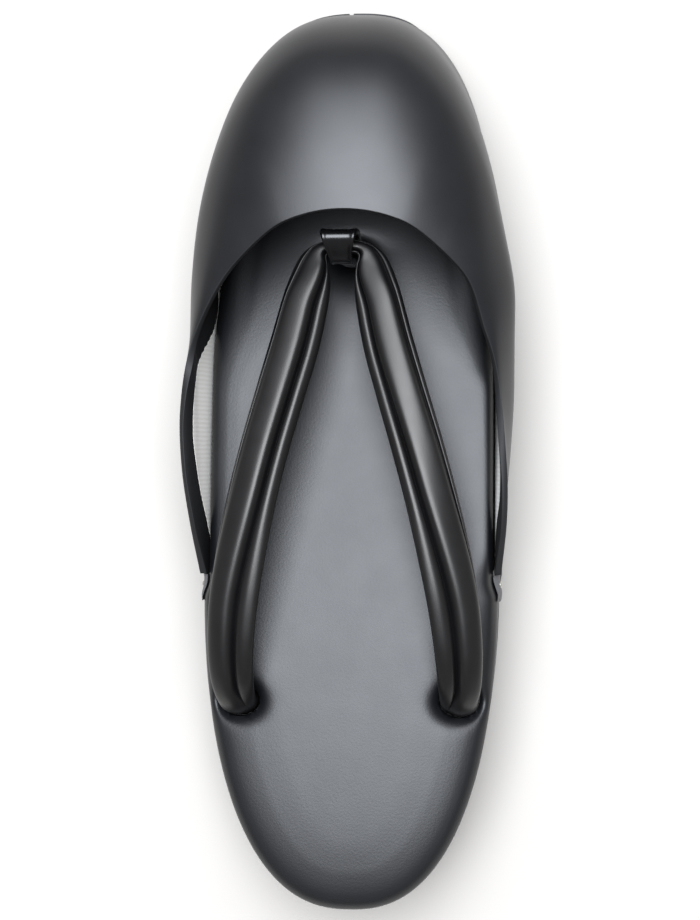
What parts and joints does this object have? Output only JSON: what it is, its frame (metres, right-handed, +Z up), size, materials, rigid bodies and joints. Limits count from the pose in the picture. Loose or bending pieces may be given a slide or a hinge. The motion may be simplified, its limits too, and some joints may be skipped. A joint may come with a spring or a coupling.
{
  "type": "rain zori",
  "caption": "Black wedge sandal with a padded V strap, a toe loop and a smooth moulded hood over the toes, for wear in the rain.",
  "frame": {"origin": "middle of the shoe's box, on the floor it stands on", "axes": "+Y to the toe, +X to the right seen from above with the toe away from the viewer, +Z up"},
  "size_m": [0.0901, 0.2503, 0.0621],
  "materials": {
    "outsole_rubber": "moulded, matt",
    "side_vinyl": "wrapped vinyl, satin",
    "footbed_sheet": "synthetic leather, satin",
    "cover_vinyl": "moulded vinyl, satin",
    "strap_vinyl": "padded vinyl, half gloss",
    "tab_vinyl": "cut vinyl, matt",
    "lining_cloth": "woven, matt"
  },
  "bodies": {
    "root": {"outsole": "outsole_rubber", "platform": "side_vinyl", "footbed": "footbed_sheet", "toe_cover": "cover_vinyl", "hanao_strap": "strap_vinyl", "toe_loop": "strap_vinyl", "tail_tab_left": "tab_vinyl", "tail_tab_right": "tab_vinyl"}
  },
  "joints": []
}
